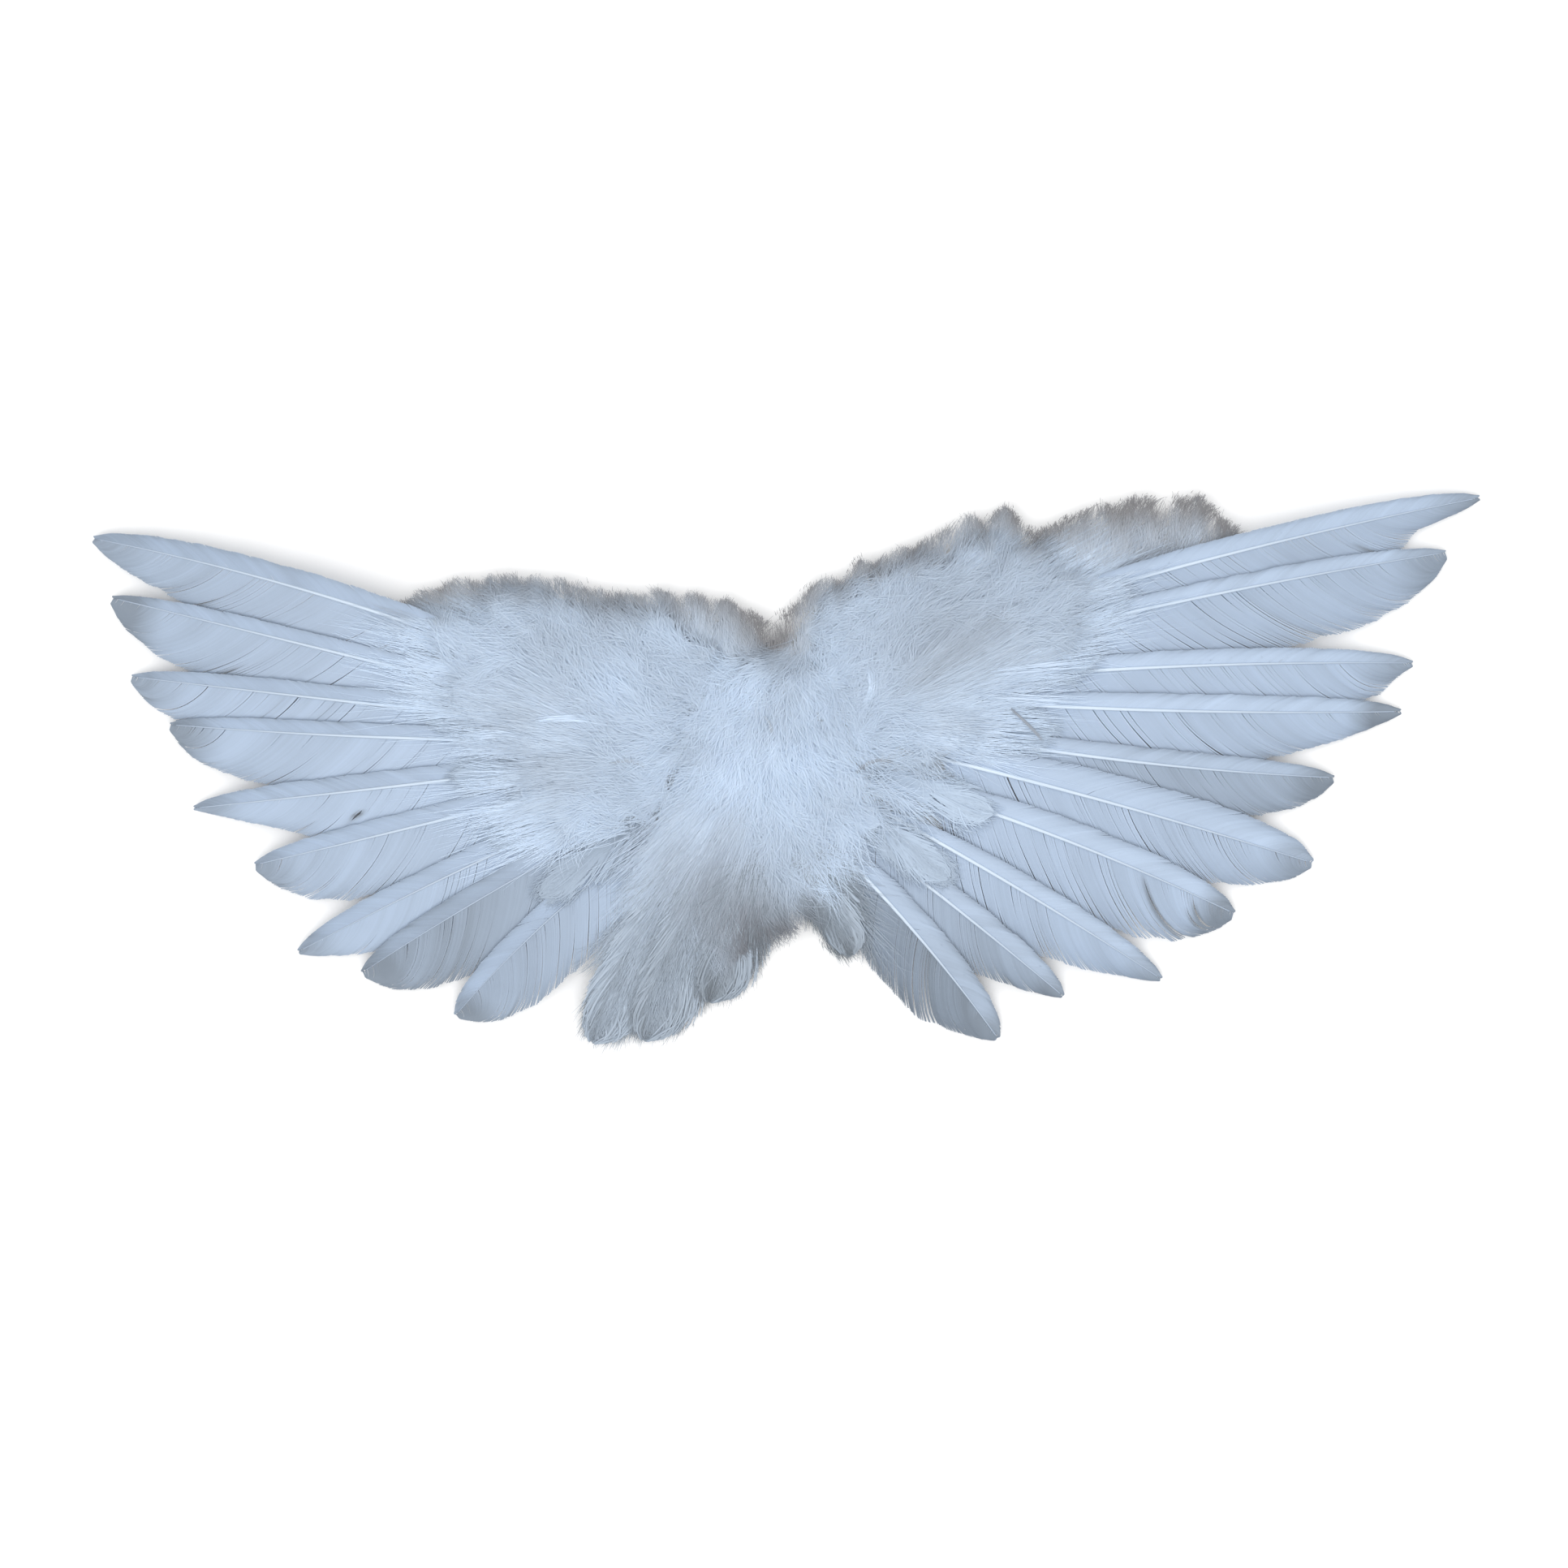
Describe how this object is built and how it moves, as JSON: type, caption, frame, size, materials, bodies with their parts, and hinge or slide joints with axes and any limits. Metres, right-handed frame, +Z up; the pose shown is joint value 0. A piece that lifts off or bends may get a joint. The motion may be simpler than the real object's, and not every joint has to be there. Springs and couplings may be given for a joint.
{
  "type": "angel wings",
  "caption": "Small feather costume wings: overlapping flight feathers fan out both ways from a down-covered felt panel, with an elastic folded flat under it.",
  "frame": {"origin": "centre of the bounding box, on the surface that the wings lie on", "axes": "+X towards the tip of the right wing, +Y towards the top edge, +Z up, out of the feathered face"},
  "size_m": [0.3908, 0.1554, 0.0191],
  "materials": {
    "flight_feather": "smooth barbed vane with a soft sheen, cool white, brighter shaft",
    "plume": "loose half-downy vane, matt, greyish white",
    "down": "matt fluffy down, cool white, greyer along the top rim",
    "felt": "matt pressed felt",
    "elastic": "woven flat elastic"
  },
  "bodies": {
    "root": {"flight_left_1": "flight_feather", "flight_left_2": "flight_feather", "flight_left_3": "flight_feather", "flight_left_4": "flight_feather", "flight_left_5": "flight_feather", "flight_left_6": "flight_feather", "flight_left_7": "flight_feather", "flight_left_8": "flight_feather", "flight_left_9": "flight_feather", "flight_right_1": "flight_feather", "flight_right_2": "flight_feather", "flight_right_3": "flight_feather", "flight_right_4": "flight_feather", "flight_right_5": "flight_feather", "flight_right_6": "flight_feather", "flight_right_7": "flight_feather", "flight_right_8": "flight_feather", "flight_right_9": "flight_feather", "flight_right_10": "flight_feather", "covert_left_1": "flight_feather", "covert_left_2": "flight_feather", "covert_left_3": "flight_feather", "covert_left_4": "flight_feather", "covert_left_5": "flight_feather", "covert_right_1": "flight_feather", "covert_right_2": "flight_feather", "covert_right_3": "flight_feather", "covert_right_4": "flight_feather", "covert_right_5": "flight_feather", "plume_left_1": "plume", "plume_left_2": "plume", "plume_left_3": "plume", "plume_right_1": "plume", "ruff_left": "down", "ruff_right": "down", "down_left": "down", "down_right": "down", "down_centre": "down", "backing_panel": "felt", "shoulder_elastic": "elastic"}
  },
  "joints": []
}
